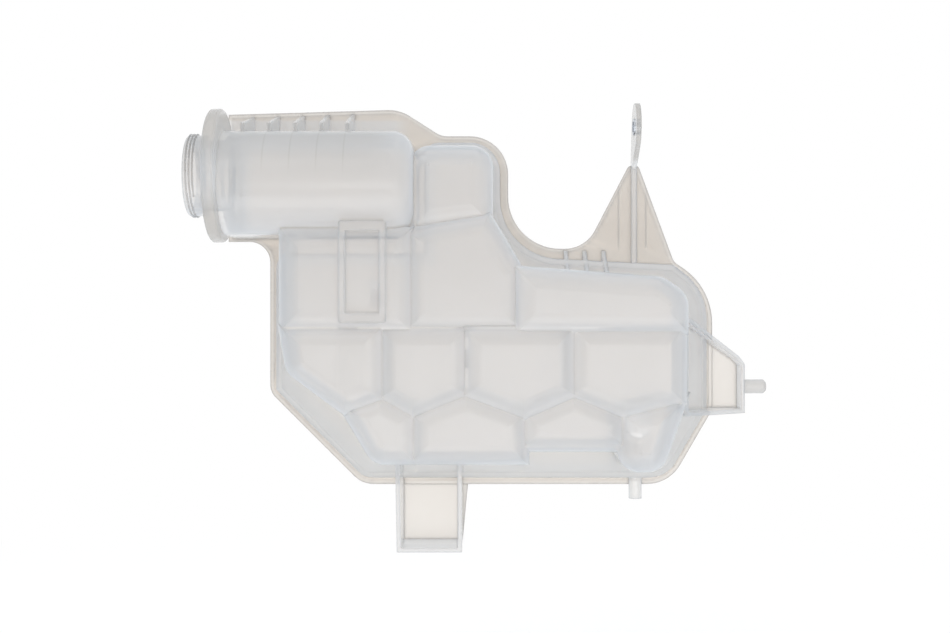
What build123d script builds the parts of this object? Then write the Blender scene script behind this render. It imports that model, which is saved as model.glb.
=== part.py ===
from build123d import *
import os

# A welded coolant expansion tank of natural polypropylene, in millimetres.
# The origin is on the axis of the filler neck, just outside its collar. X runs from the neck into
# the tank, Y runs from the front of the tank to its rear, and Z is up.
# Both shells are drawn in the frame of their mould: x and z lie in the weld plane, and the third
# number is the height above that plane, towards the front. They are turned into the frame of the
# part when they are written.

# Walls of the mouldings
wall = 2.6
baffle = 2.4
ledge_baffle = 2.1
flange_thickness = 3.0
flange_width = 5.0
flange_step = 1.4
plate = 2.4

# Filler neck, with the channel that carries it
neck_height = 40.0
neck_radius = 22.2
neck_bore_radius = 19.4
neck_length = 9.75
mouth_chamfer = 0.8
collar_radius = 36.6
collar_start = 2.8
collar_end = 9.7
collar_edge = 1.0
channel_radius = 28.5
channel_drop = 3.9
channel_end = 114.0
channel_end_edge = 12.0

# Outline of the weld flange
shelf_start = 5.5
shelf_start_top = 38.9
shelf_top = 41.8
shelf_end = 104.0
shelf_end_round = 22.0
shelf_floor = -34.3
shelf_floor_round = 12.0
bump_start = 128.0
bump_start_round = 12.0
bump_top = 26.5
bump_right = 166.5
bump_round = 22.0
saddle = -38.3
saddle_round = 30.0
body_left = 29.5
body_right = 284.0
body_floor = -173.8
shoulder_start = 262.0
shoulder_top = -46.0
shoulder_bottom = -60.3
shoulder_round = 38.0
right_knee = -131.0
left_knee = -120.9
knee_round = 10.0
floor_right = 259.2
floor_right_round = 22.0
floor_left = 82.4
floor_left_round = 16.0

# Low body behind the cells
ledge_height = 18.0
ledge_edge = 6.0
ledge_corner = 16.0
ledge_shoulder = -43.0

# Lines of the honeycomb of cells on the front
cell_left = 43.8
cell_right = 260.0
row_neck = -31.5
row_middle = -84.0
zig_low = -131.0
zig_high = -119.3
zig_left = -121.0
zig_right = -123.0
upper_column_a = 111.4
upper_column_b = 171.6
middle_column_a = 96.3
middle_column_b = 142.6
middle_column_c = 200.6
lower_column_a = 113.8
lower_column_b = 174.0
lower_column_c = 228.3
bump_cell_left = 114.0
bump_cell_right = 154.2
bump_cell_top = 13.6
bump_cell_floor_left = -29.0
bump_cell_floor_right = -24.0
arm_cell_top = -53.0
arm_cell_end = 248.0
arm_cell_end_top = -58.5
arm_cell_shoulder = -67.0
left_cell_x = 77.1
left_cell_z = -127.9
left_shoulder_x = 47.5
left_shoulder_z = -106.0
lower_floor = -155.2
lower_step = -148.2
lower_drop = -159.2
lower_start = 93.4
lower_end = 247.4

# Cells: their rounding, and how far each front stands from the common level
cell_edge = 12.0
cell_overlap = 3.2
cell_corner = cell_edge - cell_overlap
front_level = 60.0
bump_cell_step = -8.0
centre_cell_step = -3.0
arm_cell_step = 3.0
left_cell_step = 1.0
middle_a_step = -1.0
middle_b_step = 0.5
middle_c_step = -0.4
lower_a_step = -2.4
lower_b_step = -2.8
lower_c_step = -4.0
lower_d_step = -1.5

# Passages through the baffles at the weld plane, and from the neck channel into the tank
notch_width = 10.0
notch_height = 7.0
passage_inset = 8.0
passage_height = 32.0

# Rear shell, with its hose spigots
rear_depth = 38.0
rear_edge = 11.0
rear_neck_depth = 22.0
rear_neck_edge = 8.0
outlet_x = 246.0
outlet_z = -143.0
outlet_radius = 10.0
outlet_bore = 7.6
outlet_length = 26.0
bleed_x = 87.0
bleed_z = -60.0
bleed_radius = 4.0
bleed_bore = 2.4
bleed_length = 18.0
spigot_slope = 30.0
bead_rise = 0.8
bead_width = 3.0

# Gusset ribs
rib_thickness = 2.2
neck_rib_first = 19.5
neck_rib_pitch = 14.4
neck_rib_count = 5
neck_rib_inset = 2.0
neck_rib_rise = 4.8
saddle_rib_first = 199.5
saddle_rib_pitch = 10.9
saddle_rib_count = 3
saddle_rib_height = 38.0
saddle_rib_inset = 1.0

# Upper ear, a plate across the tank with a sleeve in its hole
ear_x = 238.7
ear_thickness = 2.7
ear_eye_z = 29.7
ear_eye_height = 19.0
ear_eye_radius = 13.4
ear_root_z = 8.0
ear_root_height = 8.4
ear_web_left = 211.0
ear_web_left_round = 20.0
ear_web_right_round = 8.0
ear_web_top = 9.5
ear_web_half_width = 2.8
ear_web_top_round = 2.4
sleeve_radius = 4.7
sleeve_bore = 3.3
sleeve_length = 4.0

# Side bracket with its locating pin
side_root = 262.0
side_root_top = -75.9
side_top_x = 296.6
side_top_z = -99.7
side_right = 300.6
side_corner_z = -104.2
side_floor = -132.1
side_round = 3.0
side_depth = 15.0
side_root_depth = 46.0
pin_z = -117.3
pin_height = 8.0
pin_radius = 4.0
pin_length = 13.0
pin_chamfer = 1.4

# Lower bracket
foot_left = 104.0
foot_right_top = 143.4
foot_right = 140.2
foot_floor = -208.0
foot_depth = 35.0
foot_root = -156.0
foot_root_depth = 50.0

# Peg under the flange
peg_x = 239.5
peg_radius = 3.75
peg_length = 8.0
peg_height = 4.3

# Clip frame on the front
frame_left = 74.4
frame_right = 99.5
frame_top = -26.0
frame_bottom = -80.8
frame_rail = 3.4
frame_bar = 5.4
frame_rise = 4.5
frame_corner = 1.5

# How far a cut runs past what it cuts
overrun = 1.0

# The chamfer that touches a round edge of one millimetre in its middle
tangent_chamfer = 2 - 2**0.5


def rounded(corners, growth=0.0):
    """A face from clockwise corners (x, z) or (x, z, radius), with every side moved out by growth."""
    points = [Vector(*corner[:2]) for corner in reversed(corners)]
    radii = [corner[2] if len(corner) > 2 else 0 for corner in reversed(corners)]
    count = len(points)
    sides = [(points[(i + 1) % count] - points[i]).normalized() for i in range(count)]
    moved = []
    rounds = []
    for i in range(count):
        before = Vector(sides[i - 1].Y, -sides[i - 1].X)
        after = Vector(sides[i].Y, -sides[i].X)
        moved.append(points[i] + (before + after) * (growth / (1 + before.dot(after))))
        convex = sides[i - 1].cross(sides[i]).Z > 0
        change = growth if convex else -growth
        rounds.append(max(0, radii[i] + change) if radii[i] else 0)
    return make_face(FilletPolyline(*moved, radius=rounds, close=True))


def top_edges(solid):
    return solid.faces().sort_by(Axis.Z)[-1].edges()


def pillow(face, height, edge):
    """The outside of a cell: a prism on the weld plane with its front edges rounded."""
    body = extrude(face, height)
    return fillet(top_edges(body), edge)


def block(face, height, edge):
    """The outside of a low body: a prism with its front edges bevelled as deep as a round edge."""
    body = extrude(face, height)
    return chamfer(top_edges(body), edge * tangent_chamfer)


def hollow(face, height, edge):
    """The inside of a moulding, bevelled so that the wall keeps its thickness at the outer edge."""
    return block(Pos(0, 0, -overrun) * face, height + overrun, edge - wall)


def flange_face(inset):
    corners = [
        (shelf_start, shelf_start_top),
        (shelf_end, shelf_top, shelf_end_round),
        (bump_start, bump_top, bump_start_round),
        (bump_right, bump_top, bump_round),
        (bump_right, saddle, saddle_round),
        (ear_web_left, saddle, ear_web_left_round),
        (ear_x - ear_web_half_width, ear_web_top, ear_web_top_round),
        (ear_x + ear_web_half_width, ear_web_top, ear_web_top_round),
        (shoulder_start, shoulder_top, ear_web_right_round),
        (body_right, shoulder_bottom, shoulder_round),
        (body_right, right_knee, knee_round),
        (floor_right, body_floor, floor_right_round),
        (floor_left, body_floor, floor_left_round),
        (body_left, left_knee, knee_round),
        (body_left, shelf_floor, shelf_floor_round),
        (shelf_start, shelf_floor),
    ]
    return rounded(corners, -inset)


def ledge_face(inset):
    """The low body behind the cells, drawn in from the flange's outline."""
    corners = [
        (body_left, shelf_floor, ledge_corner),
        (upper_column_a, shelf_floor),
        (upper_column_a, bump_top, ledge_corner),
        (bump_right, bump_top, bump_round),
        (bump_right, saddle, saddle_round),
        (shoulder_start, ledge_shoulder),
        (body_right, shoulder_bottom, shoulder_round),
        (body_right, right_knee),
        (floor_right, body_floor, floor_right_round),
        (floor_left, body_floor, floor_left_round),
        (body_left, left_knee),
    ]
    return rounded(corners, -inset)


def cells():
    """Corners and front height of each cell. A corner is rounded where no other cell meets it."""
    neck_cell = [
        (cell_left, row_neck),
        (upper_column_a, row_neck),
        (upper_column_a, row_middle),
        (cell_left, row_middle),
    ]
    bump_cell = [
        (bump_cell_left, bump_cell_floor_left),
        (bump_cell_left, bump_cell_top, cell_corner),
        (bump_cell_right, bump_cell_top, cell_corner),
        (bump_cell_right, bump_cell_floor_right),
    ]
    centre_cell = [
        (upper_column_a, row_neck),
        (bump_cell_right, bump_cell_floor_right),
        (upper_column_b, arm_cell_top),
        (upper_column_b, row_middle),
        (upper_column_a, row_middle),
    ]
    arm_cell = [
        (upper_column_b, arm_cell_top),
        (arm_cell_end, arm_cell_end_top, cell_corner),
        (cell_right, arm_cell_shoulder, cell_corner),
        (cell_right, row_middle),
        (upper_column_b, row_middle),
    ]
    left_cell = [
        (cell_left, row_middle),
        (middle_column_a, row_middle),
        (middle_column_a, zig_left),
        (left_cell_x, left_cell_z),
        (left_shoulder_x, left_shoulder_z, cell_corner),
    ]
    middle_a = [
        (middle_column_a, row_middle),
        (middle_column_b, row_middle),
        (middle_column_b, zig_high),
        (lower_column_a, zig_low),
        (middle_column_a, zig_left),
    ]
    middle_b = [
        (middle_column_b, row_middle),
        (middle_column_c, row_middle),
        (middle_column_c, zig_high),
        (lower_column_b, zig_low),
        (middle_column_b, zig_high),
    ]
    middle_c = [
        (middle_column_c, row_middle),
        (cell_right, row_middle),
        (cell_right, zig_right),
        (lower_column_c, zig_low),
        (middle_column_c, zig_high),
    ]
    lower_a = [
        (left_cell_x, left_cell_z),
        (middle_column_a, zig_left),
        (lower_column_a, zig_low),
        (lower_column_a, lower_floor),
        (lower_start, lower_floor, cell_corner),
    ]
    lower_b = [
        (lower_column_a, zig_low),
        (middle_column_b, zig_high),
        (lower_column_b, zig_low),
        (lower_column_b, lower_floor),
        (lower_column_a, lower_floor),
    ]
    lower_c = [
        (lower_column_b, zig_low),
        (middle_column_c, zig_high),
        (lower_column_c, zig_low),
        (lower_column_c, lower_step),
        (lower_column_b, lower_step),
    ]
    lower_d = [
        (lower_column_c, zig_low),
        (cell_right, zig_right),
        (lower_end, lower_drop, cell_corner),
        (lower_column_c, lower_drop, cell_corner),
    ]
    return [
        (neck_cell, front_level),
        (bump_cell, front_level + bump_cell_step),
        (centre_cell, front_level + centre_cell_step),
        (arm_cell, front_level + arm_cell_step),
        (left_cell, front_level + left_cell_step),
        (middle_a, front_level + middle_a_step),
        (middle_b, front_level + middle_b_step),
        (middle_c, front_level + middle_c_step),
        (lower_a, front_level + lower_a_step),
        (lower_b, front_level + lower_b_step),
        (lower_c, front_level + lower_c_step),
        (lower_d, front_level + lower_d_step),
    ]


def channel(inset):
    """The channel behind the neck: round in front, with straight sides down to the weld plane."""
    radius = channel_radius - inset
    start = collar_end + inset
    section = Pos(-channel_drop, neck_height) * Circle(radius)
    section += Pos(-channel_drop, neck_height / 2) * Rectangle(2 * radius, neck_height)
    return Pos(start, 0, 0) * extrude(Plane.YZ * section, channel_end - inset - start)


def far_rim(body):
    return body.faces().sort_by(Axis.X)[-1].edges().sort_by(Axis.Z)[1:]


def walls():
    """The lines that the cells share, where a baffle runs down to the weld plane."""
    zigzag = [
        (left_cell_x, left_cell_z),
        (middle_column_a, zig_left),
        (lower_column_a, zig_low),
        (middle_column_b, zig_high),
        (lower_column_b, zig_low),
        (middle_column_c, zig_high),
        (lower_column_c, zig_low),
        (cell_right, zig_right),
    ]
    ledge_in = flange_width + wall / 2
    floor = body_floor + ledge_in
    return [
        *zip(zigzag[:-1], zigzag[1:]),
        ((body_left + ledge_in, row_middle), (upper_column_a, row_middle)),
        ((upper_column_a, row_middle), (upper_column_b, row_middle)),
        ((upper_column_b, row_middle), (body_right - ledge_in, row_middle)),
        ((upper_column_a, row_neck), (upper_column_a, row_middle)),
        ((upper_column_b, arm_cell_top), (upper_column_b, row_middle)),
        ((middle_column_a, row_middle), zigzag[1]),
        ((middle_column_b, row_middle), zigzag[3]),
        ((middle_column_c, row_middle), zigzag[5]),
        (zigzag[2], (lower_column_a, floor)),
        (zigzag[4], (lower_column_b, floor)),
        (zigzag[6], (lower_column_c, floor)),
    ]


def baffles(height):
    """Thin walls on the shared lines, from the weld plane up or down to a height."""
    plates = [trace(Line(*line), ledge_baffle) for line in walls()]
    return [extrude(face, height, dir=(0, 0, 1)) for face in plates]


def notches():
    """Passages through the baffles of both shells, one in the middle of each."""
    spots = [(Vector(*a) + Vector(*b)) / 2 for a, b in walls()]
    return [Pos(spot) * Box(notch_width, notch_width, 2 * notch_height) for spot in spots]


def neck():
    """Screw neck and collar, turned about the neck's axis."""
    profile = Polyline(
        (-neck_length, 0),
        (-neck_length, neck_radius - mouth_chamfer),
        (mouth_chamfer - neck_length, neck_radius),
        (collar_start, neck_radius),
        (collar_start, collar_radius - collar_edge),
        (collar_start + collar_edge, collar_radius),
        (collar_end - collar_edge, collar_radius),
        (collar_end, collar_radius - collar_edge),
        (collar_end, 0),
        close=True,
    )
    return Pos(0, 0, neck_height) * revolve(make_face(profile), Axis.X)


def neck_bore():
    start = -neck_length - overrun
    end = collar_end + wall + overrun
    bore = Cylinder(neck_bore_radius, end - start, rotation=(0, 90, 0))
    return Pos((start + end) / 2, 0, neck_height) * bore


def neck_passage():
    """The way from the neck channel through its floor into the cell below."""
    start = cell_left + passage_inset
    end = upper_column_a - passage_inset
    size = (end - start, 4 * wall, passage_height - flange_thickness)
    return Pos((start + end) / 2, row_neck, (passage_height + flange_thickness) / 2) * Box(*size)


def neck_ribs():
    """Gussets between the crest of the neck channel and the wide shelf of the flange."""
    top = channel_radius - channel_drop
    slope = (shelf_top - shelf_start_top) / (shelf_end - shelf_start)
    ribs = []
    for i in range(neck_rib_count):
        x = neck_rib_first + i * neck_rib_pitch
        tip = shelf_start_top + slope * (x - shelf_start) - neck_rib_inset
        profile = Polyline(
            (top - wall, 0),
            (tip, 0),
            (tip, flange_thickness),
            (top + neck_rib_rise, neck_height),
            (top - wall, neck_height),
            close=True,
        )
        ribs.append(Pos(x, 0, 0) * extrude(Plane.YZ * make_face(profile), rib_thickness / 2, both=True))
    return ribs


def saddle_ribs():
    """Gussets between the top of the long cell and the flange beside the ear."""
    tip = saddle - saddle_rib_inset
    profile = Polyline(
        (arm_cell_end_top, 0),
        (tip, 0),
        (tip, flange_thickness),
        (arm_cell_end_top, saddle_rib_height),
        close=True,
    )
    rib = extrude(Plane.YZ * make_face(profile), rib_thickness / 2, both=True)
    return [Pos(saddle_rib_first + i * saddle_rib_pitch, 0, 0) * rib for i in range(saddle_rib_count)]


def ear():
    """A plate across the flange that leans forward to an eye."""
    eye = Pos(ear_eye_z, ear_eye_height) * Circle(ear_eye_radius)
    root = Line((ear_root_z, 0), (ear_root_z, ear_root_height))
    arm = make_hull([*eye.edges(), root])
    stem = Pos((ear_root_z + arm_cell_top) / 2, ear_root_height / 2)
    stem *= Rectangle(ear_root_z - arm_cell_top, ear_root_height)
    return Pos(ear_x, 0, 0) * extrude(Plane.YZ * (arm + stem), ear_thickness / 2, both=True)


def ear_hole(radius, length):
    return Pos(ear_x, ear_eye_z, ear_eye_height) * Cylinder(radius, length, rotation=(0, 90, 0))


def side_bracket():
    """An open box beside the body that gets lower towards its locating pin."""
    corners = [
        (side_root, side_root_top),
        (side_top_x, side_top_z, side_round),
        (side_right, side_corner_z, side_round),
        (side_right, side_floor),
        (side_root, side_floor),
    ]
    box = extrude(rounded(corners), side_root_depth)
    box -= extrude(Pos(0, 0, plate) * rounded(corners, -plate), side_root_depth)
    front = Polyline(
        (side_root - overrun, side_root_depth),
        (side_root, side_root_depth),
        (side_right, side_depth),
        (side_right + overrun, side_depth),
        (side_right + overrun, side_root_depth + overrun),
        (side_root - overrun, side_root_depth + overrun),
        close=True,
    )
    box -= Pos(0, side_root_top + overrun, 0) * extrude(Plane.XZ * make_face(front), body_right)
    pin = Cylinder(pin_radius, pin_length + plate, rotation=(0, 90, 0))
    pin = chamfer(pin.edges().sort_by(Axis.X)[-1], pin_chamfer)
    return box + Pos(side_right + (pin_length - plate) / 2, pin_z, pin_height) * pin


def lower_bracket():
    """An open channel under the body that gets lower towards its foot."""
    web = Polyline(
        (foot_left, foot_root),
        (foot_right_top, foot_root),
        (foot_right_top, body_floor),
        (foot_right, foot_floor),
        (foot_left, foot_floor),
        close=True,
    )
    width = foot_right - foot_left
    side = Polyline(
        (foot_root, 0), (foot_root, foot_root_depth), (foot_floor, foot_depth), (foot_floor, 0), close=True
    )
    box = Pos(foot_left, 0, 0) * extrude(Plane.YZ * make_face(side), width)
    inside = Pos(foot_left + width / 2, (foot_root + foot_floor) / 2 + plate)
    inside *= Rectangle(width - 2 * plate, foot_root - foot_floor)
    box -= extrude(inside, foot_root_depth)
    return box + extrude(make_face(web), plate)


def peg():
    top = body_floor + flange_width + wall
    length = top - body_floor + peg_length
    return Pos(peg_x, top - length / 2, peg_height) * Cylinder(peg_radius, length, rotation=(90, 0, 0))


def clip_frame():
    """A raised frame that takes a slide-in clip."""
    width = frame_right - frame_left
    height = frame_top - frame_bottom
    place = Pos((frame_left + frame_right) / 2, (frame_top + frame_bottom) / 2, neck_height)
    ring = RectangleRounded(width, height, frame_corner)
    ring -= Rectangle(width - 2 * frame_rail, height - 2 * frame_bar)
    return extrude(place * ring, front_level - neck_height + frame_rise)


def front_shell():
    outer = extrude(flange_face(0), flange_thickness)
    outer += block(ledge_face(flange_width), ledge_height, ledge_edge)
    outer += fillet(far_rim(channel(0)), channel_end_edge)
    for corners, height in cells():
        outer += pillow(rounded(corners, cell_overlap), height, cell_edge)
    outer += neck()
    outer += [*neck_ribs(), *saddle_ribs(), ear(), side_bracket(), lower_bracket(), peg(), clip_frame()]
    inner = hollow(ledge_face(flange_width + wall), ledge_height - wall, ledge_edge)
    inner -= baffles(ledge_height)
    inner += chamfer(far_rim(channel(wall)), (channel_end_edge - wall) * tangent_chamfer)
    for corners, height in cells():
        inner += hollow(rounded(corners, -baffle / 2), height - wall, cell_edge)
    inner += [neck_bore(), neck_passage()]
    return outer - inner - notches() - ear_hole(sleeve_radius, 2 * sleeve_length)


def rear_neck_face(inset):
    """The part of the rear shell that closes the neck channel."""
    top = channel_radius - channel_drop
    corners = [
        (collar_end, top, rear_neck_edge),
        (channel_end, top, rear_neck_edge),
        (channel_end, row_neck - wall),
        (collar_end, row_neck, rear_neck_edge),
    ]
    return rounded(corners, -inset)


def spigot_place(x, z):
    """The frame of a spigot on the rear wall, with the axis sloping down as it leaves."""
    return Pos(x, z, -rear_depth) * Rot(-spigot_slope, 0, 0)


def spigot(x, z, radius, length):
    """A hose spigot on the rear, with a bead at its end. Its root runs on into the hollow."""
    profile = Polyline(
        (0, radius),
        (radius, radius),
        (radius, bead_width - length),
        (radius + bead_rise, bead_width / 2 - length),
        (radius, -length),
        (0, -length),
        close=True,
    )
    return spigot_place(x, z) * revolve(Plane.XZ * make_face(profile), Axis.Z)


def spigot_bore(x, z, radius, length):
    reach = 2 * (length + overrun)
    return spigot_place(x, z) * Cylinder(radius, reach)


def rear_shell():
    cover = block(ledge_face(flange_width), rear_depth, rear_edge)
    cover += block(rear_neck_face(0), rear_neck_depth, rear_neck_edge)
    inside = hollow(ledge_face(flange_width + wall), rear_depth - wall, rear_edge)
    inside += hollow(rear_neck_face(wall), rear_neck_depth - wall, rear_neck_edge)
    outer = extrude(flange_face(flange_step), -flange_thickness)
    outer += mirror(cover, about=Plane.XY)
    outer += spigot(outlet_x, outlet_z, outlet_radius, outlet_length)
    outer += spigot(bleed_x, bleed_z, bleed_radius, bleed_length)
    inner = mirror(inside, about=Plane.XY) - baffles(-rear_depth)
    inner += spigot_bore(outlet_x, outlet_z, outlet_bore, outlet_length)
    inner += spigot_bore(bleed_x, bleed_z, bleed_bore, bleed_length)
    return outer - inner - notches()


mould = Plane(origin=(0, neck_height, 0), x_dir=(1, 0, 0), z_dir=(0, -1, 0))
sleeve = ear_hole(sleeve_radius, sleeve_length) - ear_hole(sleeve_bore, 2 * sleeve_length)
pieces = {"front_shell": front_shell(), "rear_shell": rear_shell(), "ear_sleeve": sleeve}
os.makedirs("parts", exist_ok=True)
for name, piece in pieces.items():
    export_step(mould.location * piece, f"parts/{name}.step")
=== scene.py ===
import math
from functools import reduce
from operator import mul

import bpy
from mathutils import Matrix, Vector


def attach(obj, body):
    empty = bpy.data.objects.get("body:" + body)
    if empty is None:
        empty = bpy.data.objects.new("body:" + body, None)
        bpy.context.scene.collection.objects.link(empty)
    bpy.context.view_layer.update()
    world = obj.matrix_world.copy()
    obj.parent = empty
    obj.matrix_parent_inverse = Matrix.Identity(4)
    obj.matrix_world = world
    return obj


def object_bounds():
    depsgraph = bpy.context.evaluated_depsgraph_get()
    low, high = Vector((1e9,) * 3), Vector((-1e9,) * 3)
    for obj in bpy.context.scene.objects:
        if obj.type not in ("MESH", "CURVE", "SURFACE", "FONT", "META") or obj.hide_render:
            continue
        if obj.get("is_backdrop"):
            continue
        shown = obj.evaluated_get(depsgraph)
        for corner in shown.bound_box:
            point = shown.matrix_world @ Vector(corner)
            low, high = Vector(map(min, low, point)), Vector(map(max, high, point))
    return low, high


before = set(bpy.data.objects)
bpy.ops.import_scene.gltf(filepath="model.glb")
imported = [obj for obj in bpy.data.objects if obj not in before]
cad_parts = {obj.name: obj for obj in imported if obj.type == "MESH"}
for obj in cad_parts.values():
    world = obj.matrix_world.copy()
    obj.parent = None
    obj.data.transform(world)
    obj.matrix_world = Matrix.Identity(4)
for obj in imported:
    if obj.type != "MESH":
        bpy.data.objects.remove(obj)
cad_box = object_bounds()

bl_info = {
    "name": "Coolant Expansion Tank",
    "version": (1, 0, 0),
    "blender": (4, 5, 0),
    "location": "View3D > Sidebar > Tank",
    "description": "Dresses a welded coolant expansion tank and sets its studio",
    "category": "Object",
}

# Soft limits of the features of the shells along the axes of the frame, in metres. Along an axis,
# a feature fades in over the first pair and out over the second.
features = {
    "collar": {"X": ((0.0015, 0.0035), (0.0095, 0.0105)), "Y": (None, (0.0366, 0.0368))},
    # Painted shade: the neck channel darkens towards its top
    "painted_channel_shade": {
        "X": (None, (0.09, 0.115)),
        "Y": (None, (0.036, 0.0366)),
        "Z": ((-0.012, 0.024), None),
    },
    "channel": {"Y": (None, (0.0, 0.004)), "Z": ((-0.004, 0.012), None)},
    # Painted shade: the zone among the gussets, above the neck channel, takes part of the solid
    # colour
    "gussets": {
        "X": ((0.0105, 0.012), (0.09, 0.1)),
        "Y": (None, (0.036, 0.0366)),
        "Z": ((0.025, 0.0255), None),
    },
    "shelf": {"X": (None, (0.1, 0.112)), "Z": ((0.0, 0.01), (0.0345, 0.0365))},
    "flange": {"Y": ((0.0362, 0.0368), (0.0432, 0.0438))},
    # Painted light: the ledge under the lower cells turns lighter and bluer towards the bottom,
    # standing for light from below
    "ledge": {"Y": ((0.018, 0.02), (0.0355, 0.0362)), "Z": (None, (-0.13, -0.09))},
    "ear": {"X": ((0.22, 0.23), None), "Z": ((0.009, 0.013), None)},
    "web": {"Z": ((-0.039, -0.036), (-0.003, 0.0))},
    "pin": {"X": ((0.3, 0.301), None)},
    # Painted shade: dark bands across the clip frame's window at its top and foot bars
    "clip": {
        "X": ((0.0725, 0.0735), (0.1005, 0.1015)),
        "Y": (None, (-0.0215, -0.0205)),
        "Z": (None, (-0.0262, -0.0254)),
    },
    "clip_top": {"Z": ((-0.0325, -0.0315), None)},
    "clip_foot": {"Z": (None, (-0.0765, -0.0755))},
    "rear": {"Y": ((0.0435, 0.0445), None)},
    "spigot_edges": {"Y": ((0.078, 0.079), None)},
    "spigots": {"Y": ((0.0785, 0.0795), None)},
}
# Heights from the neck's axis over which the collar turns solid
collar_fade = (0.0, 0.024)
# Two thin lines on the ear's web: their middle, how far from it each is, and their soft half width
web_middle = 0.23805
web_half = 0.00785
web_line = (0.0002, 0.0007)
# How far outside the first and the last line of the neck channel the lines fade out
ridge_fade = (0.001, 0.002)
# Y of the normal over which a face of the rear shell stops being part of its lining
lining_fade = (-0.9, -0.5)

# Pattern of the plastic: clouds, streaks of flow along the mould, and the grain of the surface
cloud_scale = 16
cloud_detail = 3
flow_scale = (30, 90, 210)
streak_detail = 2
grain_scale = 1100
grain_detail = 1
noise_mean = 0.5
tint_shift = (0.02, 0.0, -0.02)
cloud_tint = 0.8
cloud_roughness = 0.12
streak_roughness = 0.05
cloud_clearness = 0.06
grain_height = 0.4
skin_bump = {"Strength": 0.06, "Distance": 0.0004}

# How far the small features take the solid colour: the pin as solid plastic, and the zone among
# the gussets and the clip frame's top and foot bars as painted shade
pin_solid = 0.7
gusset_zone_shade = 0.5
clip_bar_shade = 0.4

# Rounded edges: samples of each, the rounding of fine edges as a part of the broad one, and that
# of the thread as a part of its width
bevel_samples = 4
fine_rounding = 1 / 3
thread_rounding = 1 / 6
# Edge mask: its gain, the gains of the flange's outline, a painted shade along the flange's edges,
# and of the web's lines, and what is left of the flange's colour on its outline
edge_gain = 3.4
outline_gain = 1.7
web_gain = 0.5
outline_shade = 0.4

# How far the low ledge takes its painted light, a lighter and bluer colour that stands for light
# from below, how much light the features take away, what the inner skins and the spigots let
# through, and the refractive index of the plastic
ledge_painted_light = 0.7
outline_dimming = 0.7
solid_dimming = 0.5
ledge_dimming = 0.12
inside_clearness = 0.94
spigot_clearness = 0.4
refraction = 1.49

# Plated steel: lines of turning across the sleeve's axis, and clouds in the plating
turning_scale = (5200, 60, 60)
turning_detail = 2
turning_roughness = 0.14
turning_bump = {"Strength": 0.2, "Distance": 0.0001}
plating_scale = 260
plating_detail = 3
plating_roughness = 0.1

# Thread: steps in one turn, steps over which it runs out, and its profile as parts of its width
# and of its rise
turn_steps = 96
run_out = 12
thread_profile = ((-0.5, -0.35), (-0.28, 0.55), (-0.1, 1), (0.1, 1), (0.28, 0.55), (0.5, -0.35))

# Plain white for sockets, and black for a mix of colours
white = (1, 1, 1, 1)
black = (0, 0, 0)
# Studio: the floor's half side, pattern and tints, how far out it turns plain white, and the tint
# of the light from all around
floor_half = 6.0
floor_scale = 3
floor_detail = 2
floor_tints = ((0.80, 0.80, 0.80), (0.82, 0.82, 0.82))
floor_fade = (0.35, 0.75)
sky_tint = (0.97, 0.985, 1, 1)
# Lamps: place, the point that each faces, its two sides and its power
lamps = {
    "key": ((-0.35, -0.75, 0.75), (0.15, 0.03, -0.07), (0.7, 0.5), 0.8),
    "top": ((0.15, -0.1, 0.95), (0.15, 0.03, -0.07), (0.9, 0.6), 0.9),
    "fill": ((0.35, -0.95, -0.2), (0.15, 0.03, -0.14), (0.9, 0.3), 1.3),
    "under": ((0.15, -0.2, -0.285), (0.15, 0.0, -0.1), (0.6, 0.25), 0.6),
}


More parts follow.
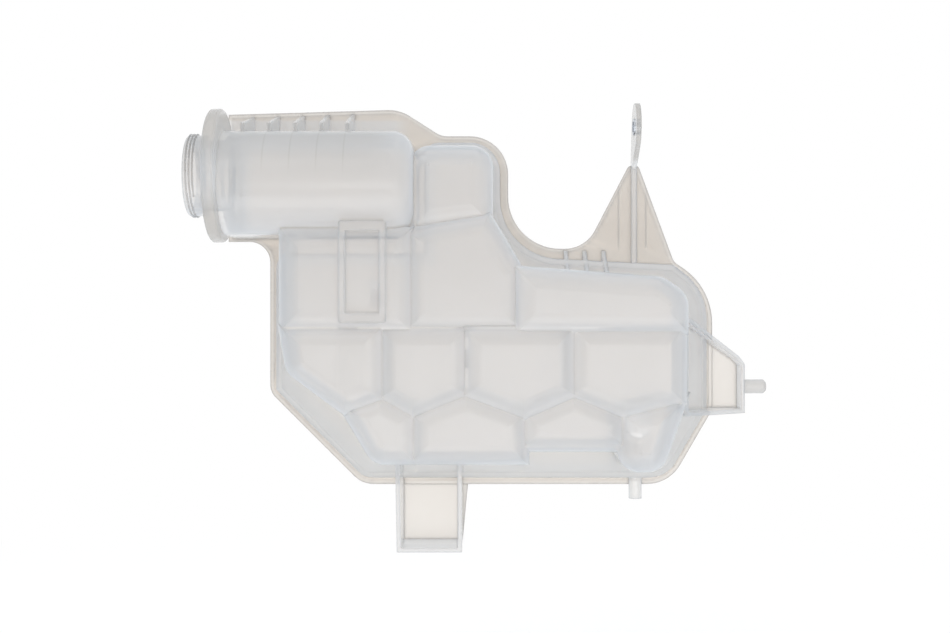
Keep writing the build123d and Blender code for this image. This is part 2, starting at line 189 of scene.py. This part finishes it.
class PlasticSettings(bpy.types.PropertyGroup):
    """Natural polypropylene of the two shells."""

    scatter: bpy.props.FloatVectorProperty(
        name="Scattered colour",
        description="Colour of the light that the milky wall throws back",
        default=(0.80, 0.885, 0.985), size=3, min=0, max=1, subtype="COLOR",
    )
    passed: bpy.props.FloatVectorProperty(
        name="Passed colour",
        description="Colour of the light that goes straight through one skin of a wall",
        default=(0.975, 0.932, 0.884), size=3, min=0, max=1, subtype="COLOR",
    )
    clearness: bpy.props.FloatProperty(
        name="Clearness",
        description="Share of the light that goes straight through one skin of a wall",
        default=0.55, min=0, max=1, subtype="FACTOR",
    )
    slant: bpy.props.FloatProperty(
        name="Slant",
        description="How much less light goes through a skin that is seen at a slant",
        default=0.7, min=0, max=1, subtype="FACTOR",
    )
    edge: bpy.props.FloatProperty(
        name="Edge",
        description="How much less light goes through the plastic beside an edge",
        default=0.05, min=0, max=1, subtype="FACTOR",
    )
    # The solid colour is also laid as painted shade on the neck channel's top, among the gussets
    # and on the clip frame's bars
    solid: bpy.props.FloatVectorProperty(
        name="Solid colour",
        description="Colour of the collar and the ear, which are solid plastic",
        default=(0.44, 0.41, 0.37), size=3, min=0, max=1, subtype="COLOR",
    )
    lining: bpy.props.FloatVectorProperty(
        name="Lining colour",
        description="Colour of the inside of the rear shell, which is seen through the front",
        default=(0.74, 0.68, 0.60), size=3, min=0, max=1, subtype="COLOR",
    )
    # Painted shade on the neck channel, darker towards its top
    painted_channel_shade: bpy.props.FloatProperty(
        name="Channel shade",
        description="How much darker the neck channel grows towards its top",
        default=0.55, min=0, max=1, subtype="FACTOR",
    )
    # Painted light on the low ledge: a lighter, bluer colour standing for light from below
    ledge: bpy.props.FloatVectorProperty(
        name="Ledge colour",
        description="Colour of the low ledge between the weld flange and the cells",
        default=(0.90, 0.96, 1.0), size=3, min=0, max=1, subtype="COLOR",
    )
    rim: bpy.props.FloatVectorProperty(
        name="Rim colour",
        description="Colour of the weld flange, where two plates lie on each other",
        default=(0.81, 0.788, 0.757), size=3, min=0, max=1, subtype="COLOR",
    )
    glow: bpy.props.FloatProperty(
        name="Glow",
        description="Share of the scattered light that leaves on the far side of a skin",
        default=0.45, min=0, max=1, subtype="FACTOR",
    )
    roughness: bpy.props.FloatProperty(
        name="Roughness",
        description="Mean roughness of the moulded surface",
        default=0.18, min=0, max=1, subtype="FACTOR",
    )
    softness: bpy.props.FloatProperty(
        name="Edge softness",
        description="Radius at which the moulded edges look rounded",
        default=0.003, min=0, unit="LENGTH",
    )


class SteelSettings(bpy.types.PropertyGroup):
    """Plated steel of the sleeve in the ear."""

    dark: bpy.props.FloatVectorProperty(
        name="Dark plating",
        description="Darker tint of the plating",
        default=(0.50, 0.54, 0.60), size=3, min=0, max=1, subtype="COLOR",
    )
    light: bpy.props.FloatVectorProperty(
        name="Light plating",
        description="Lighter tint of the plating",
        default=(0.64, 0.67, 0.71), size=3, min=0, max=1, subtype="COLOR",
    )
    polish: bpy.props.FloatProperty(
        name="Polish",
        description="Roughness where the turned surface is smoothest",
        default=0.18, min=0, max=1, subtype="FACTOR",
    )


class ThreadSettings(bpy.types.PropertyGroup):
    """Screw thread on the filler neck."""

    start: bpy.props.FloatProperty(
        name="Start",
        description="Where the thread begins along the neck",
        default=-0.0086, unit="LENGTH",
    )
    pitch: bpy.props.FloatProperty(
        name="Pitch",
        description="Advance of the thread in one turn",
        default=0.0018, unit="LENGTH",
    )
    turns: bpy.props.FloatProperty(
        name="Turns",
        description="Number of turns",
        default=2.6, min=0.5,
    )
    radius: bpy.props.FloatProperty(
        name="Neck radius",
        description="Outer radius of the neck under the thread",
        default=0.0222, unit="LENGTH",
    )
    rise: bpy.props.FloatProperty(
        name="Rise",
        description="Height of the thread over the neck",
        default=0.0008, unit="LENGTH",
    )
    width: bpy.props.FloatProperty(
        name="Width",
        description="Width of the thread at its foot",
        default=0.0011, unit="LENGTH",
    )


class RidgeSettings(bpy.types.PropertyGroup):
    """Faint lines that run on from the gussets over the round of the neck channel."""

    first: bpy.props.FloatProperty(
        name="First",
        description="Place of the first line along the channel",
        default=0.0339, unit="LENGTH",
    )
    pitch: bpy.props.FloatProperty(
        name="Pitch",
        description="Distance from line to line",
        default=0.0144, unit="LENGTH",
    )
    count: bpy.props.IntProperty(
        name="Count",
        description="Number of lines",
        default=4, min=1,
    )
    width: bpy.props.FloatProperty(
        name="Width",
        description="Width of a line",
        default=0.0014, unit="LENGTH",
    )
    strength: bpy.props.FloatProperty(
        name="Strength",
        description="How much darker a line is",
        default=0.25, min=0, max=1, subtype="FACTOR",
    )


class StageSettings(bpy.types.PropertyGroup):
    """Camera, floor and lights."""

    lens: bpy.props.FloatProperty(
        name="Lens",
        description="Focal length of the camera",
        default=54.2, min=1, unit="CAMERA",
    )
    camera: bpy.props.FloatVectorProperty(
        name="Camera",
        description="Place of the camera",
        default=(0.1474, -0.787, -0.0773), size=3, subtype="TRANSLATION",
    )
    floor: bpy.props.FloatProperty(
        name="Floor",
        description="Height of the floor",
        default=-0.30, unit="LENGTH",
    )
    middle: bpy.props.FloatVectorProperty(
        name="Middle",
        description="Point of the floor under the object",
        default=(0.15, 0.03, -0.30), size=3, subtype="TRANSLATION",
    )
    lift: bpy.props.FloatProperty(
        name="Lift",
        description="White that the camera sees on the floor beside its own light",
        default=0.37, min=0,
    )
    ambient: bpy.props.FloatProperty(
        name="Ambient",
        description="Strength of the light from all around",
        default=0.75, min=0,
    )


class Wire:
    """A node socket that takes part in Python expressions."""

    def __init__(self, tree, socket=None):
        self.tree = tree
        self.socket = socket

    def add(self, kind, settings, inputs, output=0):
        """Adds a node with its settings and sockets, and returns the output asked for."""
        node = self.tree.nodes.new(kind)
        for key, value in settings.items():
            setattr(node, key, value)
        for key, value in inputs.items():
            if isinstance(value, Wire):
                self.tree.links.new(value.socket, node.inputs[key])
            else:
                node.inputs[key].default_value = value
        return Wire(self.tree, node.outputs[output] if node.outputs else None)

    def math(self, operation, first, second):
        return self.add("ShaderNodeMath", {"operation": operation}, {0: first, 1: second})

    def __abs__(self):
        return self.add("ShaderNodeMath", {"operation": "ABSOLUTE"}, {0: self})

    def __add__(self, other):
        return self.math("ADD", self, other)

    def __radd__(self, other):
        return self.math("ADD", other, self)

    def __sub__(self, other):
        return self.math("SUBTRACT", self, other)

    def __rsub__(self, other):
        return self.math("SUBTRACT", other, self)

    def __mul__(self, other):
        return self.math("MULTIPLY", self, other)

    def __rmul__(self, other):
        return self.math("MULTIPLY", other, self)


def new_material(name):
    """An empty node material, with the wire that its nodes are added from."""
    material = bpy.data.materials.new(name)
    material.use_nodes = True
    material.node_tree.nodes.clear()
    return material, Wire(material.node_tree)


def noise(start, place, scale, detail):
    inputs = {"Vector": place, "Scale": scale, "Detail": detail}
    return start.add("ShaderNodeTexNoise", {}, inputs, "Fac")


def mixed(start, factor, *colours):
    """Two colours, mixed by the sockets that a Mix node has for them."""
    first, second = (
        colour if isinstance(colour, Wire) else (*colour, 1) for colour in colours
    )
    settings = {"data_type": "RGBA"}
    return start.add("ShaderNodeMix", settings, {0: factor, 6: first, 7: second}, 2)


def ramp(start, value, low, high):
    """A soft step from 0 at low to 1 at high."""
    settings = {"interpolation_type": "SMOOTHSTEP"}
    inputs = {"Value": value, "From Min": low, "From Max": high}
    return start.add("ShaderNodeMapRange", settings, inputs)


def tinted(colour, shift):
    return [min(1, channel + change) for channel, change in zip(colour, shift)]


def region(start, axes, limits):
    """A mask that is 1 within the soft limits of a feature."""
    parts = []
    for axis, (near, far) in limits.items():
        if near:
            parts.append(ramp(start, axes[axis], *near))
        if far:
            parts.append(1 - ramp(start, axes[axis], *far))
    return reduce(mul, parts)


def shell_masks(start, axes, painted_channel_shade):
    """Where the features of the shells lie, and how solid the plastic is, with painted shade on
    the neck channel's top, among the gussets and on the clip frame's bars.
    """
    mask = {name: region(start, axes, limits) for name, limits in features.items()}
    mask["collar"] = mask["collar"] * ramp(start, abs(axes["Z"]), *collar_fade)
    mask["flange"] = mask["flange"] * (1 - mask["shelf"])
    # Painted shade: dark bands at the clip frame's top and foot bars
    painted_bar_shade = mask["clip"] * (mask["clip_top"] + mask["clip_foot"])
    # Painted shade: the solid colour darkens the neck channel towards its top
    painted_top_shade = mask["painted_channel_shade"] * (1 - mask["collar"]) * (1 - mask["gussets"]) * painted_channel_shade
    # The pin as solid plastic; the gussets' zone and the clip frame's bars as painted shade
    small = mask["pin"] * pin_solid + mask["gussets"] * gusset_zone_shade + painted_bar_shade * clip_bar_shade
    mask["solid"] = mask["collar"] + mask["ear"] + small + painted_top_shade
    return mask


def channel_lines(start, x, ridge):
    """Evenly spaced lines across the neck channel."""
    near, far = ridge_fade
    last = ridge.first + ridge.pitch * (ridge.count - 1)
    offset = start.math("PINGPONG", x - ridge.first, ridge.pitch / 2)
    lines = 1 - ramp(start, offset, 0, ridge.width / 2)
    lines = lines * ramp(start, x, ridge.first - far, ridge.first - near)
    return lines * (1 - ramp(start, x, last + near, last + far))


def rounded_normal(start, radius):
    return start.add("ShaderNodeBevel", {"samples": bevel_samples}, {"Radius": radius})


def polypropylene(scene, name, softness):
    """Milky plastic: part of the light goes straight through each wall, the rest is scattered."""
    look = scene.tank_plastic
    ridge = scene.tank_ridge
    material, start = new_material(name)
    place = start.add("ShaderNodeTexCoord", {}, {}, "Object")
    split = {"Vector": place}
    axes = {axis: start.add("ShaderNodeSeparateXYZ", {}, split, axis) for axis in "XYZ"}
    mask = shell_masks(start, axes, look.painted_channel_shade)

    cloud = noise(start, place, cloud_scale, cloud_detail)
    flow = start.add("ShaderNodeMapping", {}, {"Vector": place, "Scale": flow_scale})
    streak = noise(start, flow, 1, streak_detail)
    grain = noise(start, place, grain_scale, grain_detail)

    # Rounded edges, finer on the flange and the spigots, and how near the next edge is
    broad = rounded_normal(start, softness)
    fine = rounded_normal(start, softness * fine_rounding)
    sharp = start.math("MAXIMUM", mask["flange"], mask["spigot_edges"])
    soft = start.add("ShaderNodeMix", {"data_type": "VECTOR"}, {0: sharp, 4: broad, 5: fine}, 1)
    flat = start.add("ShaderNodeNewGeometry", {}, {}, "True Normal")
    dot = {"operation": "DOT_PRODUCT"}
    level = start.add("ShaderNodeVectorMath", dot, {0: broad, 1: flat}, "Value")
    edge = start.math("MINIMUM", (1 - level) * edge_gain, 1)
    web = abs(abs(axes["X"] - web_middle) - web_half)
    web = (1 - ramp(start, web, *web_line)) * mask["web"]
    # Painted shade along the flange's edges from the edge mask, with the web's two thin lines
    trace = start.math("MAXIMUM", edge * outline_gain, web * web_gain)
    trace = start.math("MINIMUM", trace, 1) * mask["flange"]

    # Colour of the scattered light, from the plain wall to the features that lie over it
    warm = tinted(look.scatter, tint_shift)
    cool = tinted(look.scatter, [-shift for shift in tint_shift])
    colour = mixed(start, cloud * cloud_tint + streak * (1 - cloud_tint), warm, cool)
    lines = channel_lines(start, axes["X"], ridge) * mask["channel"]
    colour = mixed(start, lines * ridge.strength, colour, black)
    ahead = start.add("ShaderNodeSeparateXYZ", {}, {"Vector": flat}, "Y")
    lining = mask["rear"] * (1 - ramp(start, ahead, *lining_fade))
    colour = mixed(start, lining, colour, look.lining)
    # Painted light: the low ledge turns lighter and bluer
    colour = mixed(start, mask["ledge"] * ledge_painted_light, colour, look.ledge)
    # Painted shade: the flange's edges are darkened along its outline
    painted_outline_shade = [channel * outline_shade for channel in look.rim]
    colour = mixed(start, mask["flange"], colour, mixed(start, trace, look.rim, painted_outline_shade))
    # The solid plastic's colour, also the painted shade on the neck channel's top, among the
    # gussets and on the clip frame's bars
    colour = mixed(start, mask["solid"], colour, look.solid)

    # Skin of the wall: scattered light, the light that leaves on the far side, and the gloss
    roughness = (cloud - noise_mean) * cloud_roughness + (streak - noise_mean) * streak_roughness
    roughness = roughness + look.roughness
    height = grain * grain_height + cloud * (1 - grain_height)
    normal = start.add("ShaderNodeBump", {}, {**skin_bump, "Height": height, "Normal": soft})
    finish = {"Roughness": roughness, "Normal": normal}
    skin = start.add(
        "ShaderNodeBsdfPrincipled", {},
        {**finish, "Base Color": colour, "Specular IOR Level": 0.0},
    )
    gloss = start.add(
        "ShaderNodeBsdfPrincipled", {}, {**finish, "Base Color": white, "Metallic": 1.0},
    )
    milk = start.add("ShaderNodeBsdfTranslucent", {}, {"Color": (*look.scatter, 1)})
    clear = start.add("ShaderNodeBsdfTransparent", {}, {"Color": (*look.passed, 1)})
    glow = look.glow * (1 - trace * outline_dimming)
    body = start.add("ShaderNodeMixShader", {}, {0: glow, 1: skin, 2: milk})

    # Share of the light that goes straight through
    facing = start.add("ShaderNodeLayerWeight", {}, {"Normal": soft}, "Facing")
    share = (cloud - noise_mean) * cloud_clearness + look.clearness
    share = share * (1 - facing * look.slant) * (1 - edge * look.edge)
    share = share * (1 - trace * outline_dimming) * (1 - mask["solid"] * solid_dimming)
    share = share * (1 - mask["ledge"] * ledge_dimming)
    inside = start.add("ShaderNodeNewGeometry", {}, {}, "Backfacing")
    open_skin = start.math("MAXIMUM", inside, mask["spigots"] * spigot_clearness)
    share = share + (inside_clearness - share) * open_skin
    wall = start.add("ShaderNodeMixShader", {}, {0: share, 1: body, 2: clear})
    shine = start.add("ShaderNodeFresnel", {}, {"IOR": refraction, "Normal": soft}) * (1 - inside)
    surface = start.add("ShaderNodeMixShader", {}, {0: shine, 1: wall, 2: gloss})
    start.add("ShaderNodeOutputMaterial", {}, {"Surface": surface})
    return material


def steel(look):
    """Turned and zinc plated steel."""
    material, start = new_material("plated_steel")
    place = start.add("ShaderNodeTexCoord", {}, {}, "Object")
    turned = start.add("ShaderNodeMapping", {}, {"Vector": place, "Scale": turning_scale})
    lines = noise(start, turned, 1, turning_detail)
    cloud = noise(start, place, plating_scale, plating_detail)
    colour = mixed(start, cloud, look.dark, look.light)
    roughness = lines * turning_roughness + cloud * plating_roughness + look.polish
    normal = start.add("ShaderNodeBump", {}, {**turning_bump, "Height": lines})
    surface = start.add(
        "ShaderNodeBsdfPrincipled", {},
        {"Base Color": colour, "Roughness": roughness, "Normal": normal, "Metallic": 1.0},
    )
    start.add("ShaderNodeOutputMaterial", {}, {"Surface": surface})
    return material


def wear(piece, material):
    piece.data.materials.clear()
    piece.data.materials.append(material)


def helix_mesh(name, thread):
    """A ridge wound about the X axis that runs out to nothing at both ends."""
    steps = round(thread.turns * turn_steps)
    corners = len(thread_profile)
    verts = []
    for i in range(steps + 1):
        turn = 2 * math.pi * thread.turns * i / steps
        fade = min(1, i / run_out, (steps - i) / run_out)
        middle = thread.start + thread.pitch * thread.turns * i / steps
        for along, up in thread_profile:
            x = middle + along * thread.width
            r = thread.radius + thread.rise * (up * fade if up > 0 else up)
            verts.append((x, r * math.cos(turn), r * math.sin(turn)))
    last = corners * steps
    faces = [tuple(range(corners)), tuple(last + j for j in reversed(range(corners)))]
    for i in range(0, last, corners):
        for j in range(corners):
            k = (j + 1) % corners
            faces.append((i + j, i + k, i + corners + k, i + corners + j))
    mesh = bpy.data.meshes.new(name)
    mesh.from_pydata(verts, [], faces)
    mesh.polygons.foreach_set("use_smooth", [True] * len(mesh.polygons))
    return mesh


class TANK_OT_dress_shells(bpy.types.Operator):
    """Gives both welded shells their milky plastic"""

    bl_idname = "tank.dress_shells"
    bl_label = "Dress Shells"

    def execute(self, context):
        scene = context.scene
        material = polypropylene(scene, "natural_polypropylene", scene.tank_plastic.softness)
        for name in ("front_shell", "rear_shell"):
            wear(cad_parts[name], material)
        return {"FINISHED"}


class TANK_OT_dress_sleeve(bpy.types.Operator):
    """Gives the sleeve in the ear its plated steel"""

    bl_idname = "tank.dress_sleeve"
    bl_label = "Dress Sleeve"

    def execute(self, context):
        wear(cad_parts["ear_sleeve"], steel(context.scene.tank_steel))
        return {"FINISHED"}


class TANK_OT_add_thread(bpy.types.Operator):
    """Winds the screw thread on the filler neck"""

    bl_idname = "tank.add_thread"
    bl_label = "Add Thread"

    def execute(self, context):
        scene = context.scene
        mesh = helix_mesh("neck_thread", scene.tank_thread)
        thread = bpy.data.objects.new("neck_thread", mesh)
        context.collection.objects.link(thread)
        softness = scene.tank_thread.width * thread_rounding
        wear(thread, polypropylene(scene, "natural_polypropylene_thread", softness))
        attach(thread, "root")
        return {"FINISHED"}


def white_share(start, bright, plain):
    """The bright shader where the camera looks, also by way of gloss, and else the plain one."""
    rays = ("Is Camera Ray", "Is Glossy Ray", "Is Transmission Ray")
    rays = [start.add("ShaderNodeLightPath", {}, {}, ray) for ray in rays]
    seen = start.math("MAXIMUM", start.math("MAXIMUM", rays[0], rays[1]), rays[2])
    return start.add("ShaderNodeMixShader", {}, {0: seen, 1: plain, 2: bright})


def floor_material(stage):
    """Pale floor that takes shadows around the object and is plain white further out."""
    material, start = new_material("studio_floor")
    place = start.add("ShaderNodeTexCoord", {}, {}, "Object")
    cloud = noise(start, place, floor_scale, floor_detail)
    plain = start.add("ShaderNodeBsdfDiffuse", {}, {"Color": mixed(start, cloud, *floor_tints)})
    lift = start.add("ShaderNodeEmission", {}, {"Color": white, "Strength": stage.lift})
    near = start.add("ShaderNodeAddShader", {}, {0: plain, 1: lift})
    bright = start.add("ShaderNodeEmission", {}, {"Color": white, "Strength": 1.0})
    distance = {"operation": "DISTANCE"}
    offset = start.add("ShaderNodeVectorMath", distance, {0: place, 1: stage.middle}, "Value")
    far = ramp(start, offset, *floor_fade)
    seen = start.add("ShaderNodeMixShader", {}, {0: far, 1: near, 2: bright})
    start.add("ShaderNodeOutputMaterial", {}, {"Surface": white_share(start, seen, plain)})
    return material


def area_lamp(name, place, target, size, power):
    lamp = bpy.data.lights.new(name, "AREA")
    lamp.shape = "RECTANGLE"
    lamp.size = size[0]
    lamp.size_y = size[1]
    lamp.energy = power
    item = bpy.data.objects.new(name, lamp)
    item.location = place
    item.rotation_euler = (Vector(target) - Vector(place)).to_track_quat("-Z", "Y").to_euler()
    item.visible_camera = False
    bpy.context.collection.objects.link(item)


class TANK_OT_set_stage(bpy.types.Operator):
    """Sets the camera, the pale floor and the soft light"""

    bl_idname = "tank.set_stage"
    bl_label = "Set Stage"

    def execute(self, context):
        scene = context.scene
        stage = scene.tank_stage
        scene.view_settings.view_transform = "Standard"
        camera = bpy.data.objects.new("camera", bpy.data.cameras.new("camera"))
        camera.data.lens = stage.lens
        camera.location = stage.camera
        camera.rotation_euler = (math.radians(90), 0, 0)
        context.collection.objects.link(camera)
        scene.camera = camera

        sides = ((-1, -1), (1, -1), (1, 1), (-1, 1))
        corners = [(floor_half * x, floor_half * y, stage.floor) for x, y in sides]
        mesh = bpy.data.meshes.new("floor")
        mesh.from_pydata(corners, [], [(0, 1, 2, 3)])
        floor = bpy.data.objects.new("floor", mesh)
        context.collection.objects.link(floor)
        wear(floor, floor_material(stage))
        floor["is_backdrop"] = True

        world = bpy.data.worlds.new("studio")
        scene.world = world
        world.use_nodes = True
        world.node_tree.nodes.clear()
        start = Wire(world.node_tree)
        ambient = {"Color": sky_tint, "Strength": stage.ambient}
        plain = start.add("ShaderNodeBackground", {}, ambient)
        bright = start.add("ShaderNodeBackground", {}, {"Color": white, "Strength": 1.0})
        start.add("ShaderNodeOutputWorld", {}, {"Surface": white_share(start, bright, plain)})

        for name, settings in lamps.items():
            area_lamp(name, *settings)
        return {"FINISHED"}


class TANK_PT_panel(bpy.types.Panel):
    """Settings of the tank's looks and of its studio"""

    bl_label = "Expansion Tank"
    bl_space_type = "VIEW_3D"
    bl_region_type = "UI"
    bl_category = "Tank"

    def draw(self, context):
        for name in groups:
            settings = getattr(context.scene, name)
            box = self.layout.box()
            for key in settings.__annotations__:
                box.prop(settings, key)
        for operator in operators:
            self.layout.operator(operator.bl_idname)


groups = {
    "tank_plastic": PlasticSettings,
    "tank_steel": SteelSettings,
    "tank_thread": ThreadSettings,
    "tank_ridge": RidgeSettings,
    "tank_stage": StageSettings,
}
operators = (
    TANK_OT_dress_shells, TANK_OT_dress_sleeve, TANK_OT_add_thread, TANK_OT_set_stage,
)


def register():
    for item in (*groups.values(), *operators, TANK_PT_panel):
        bpy.utils.register_class(item)
    for name, group in groups.items():
        setattr(bpy.types.Scene, name, bpy.props.PointerProperty(type=group))


def unregister():
    for name in groups:
        delattr(bpy.types.Scene, name)
    for item in reversed((*groups.values(), *operators, TANK_PT_panel)):
        bpy.utils.unregister_class(item)


def main():
    register()
    bpy.ops.tank.dress_shells()
    bpy.ops.tank.dress_sleeve()
    bpy.ops.tank.add_thread()
    bpy.ops.tank.set_stage()
    boxes = {"cad": cad_box, "visual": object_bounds()}
    boxes = {key: [list(corner) for corner in box] for key, box in boxes.items()}


if __name__ == "__main__":
    main()
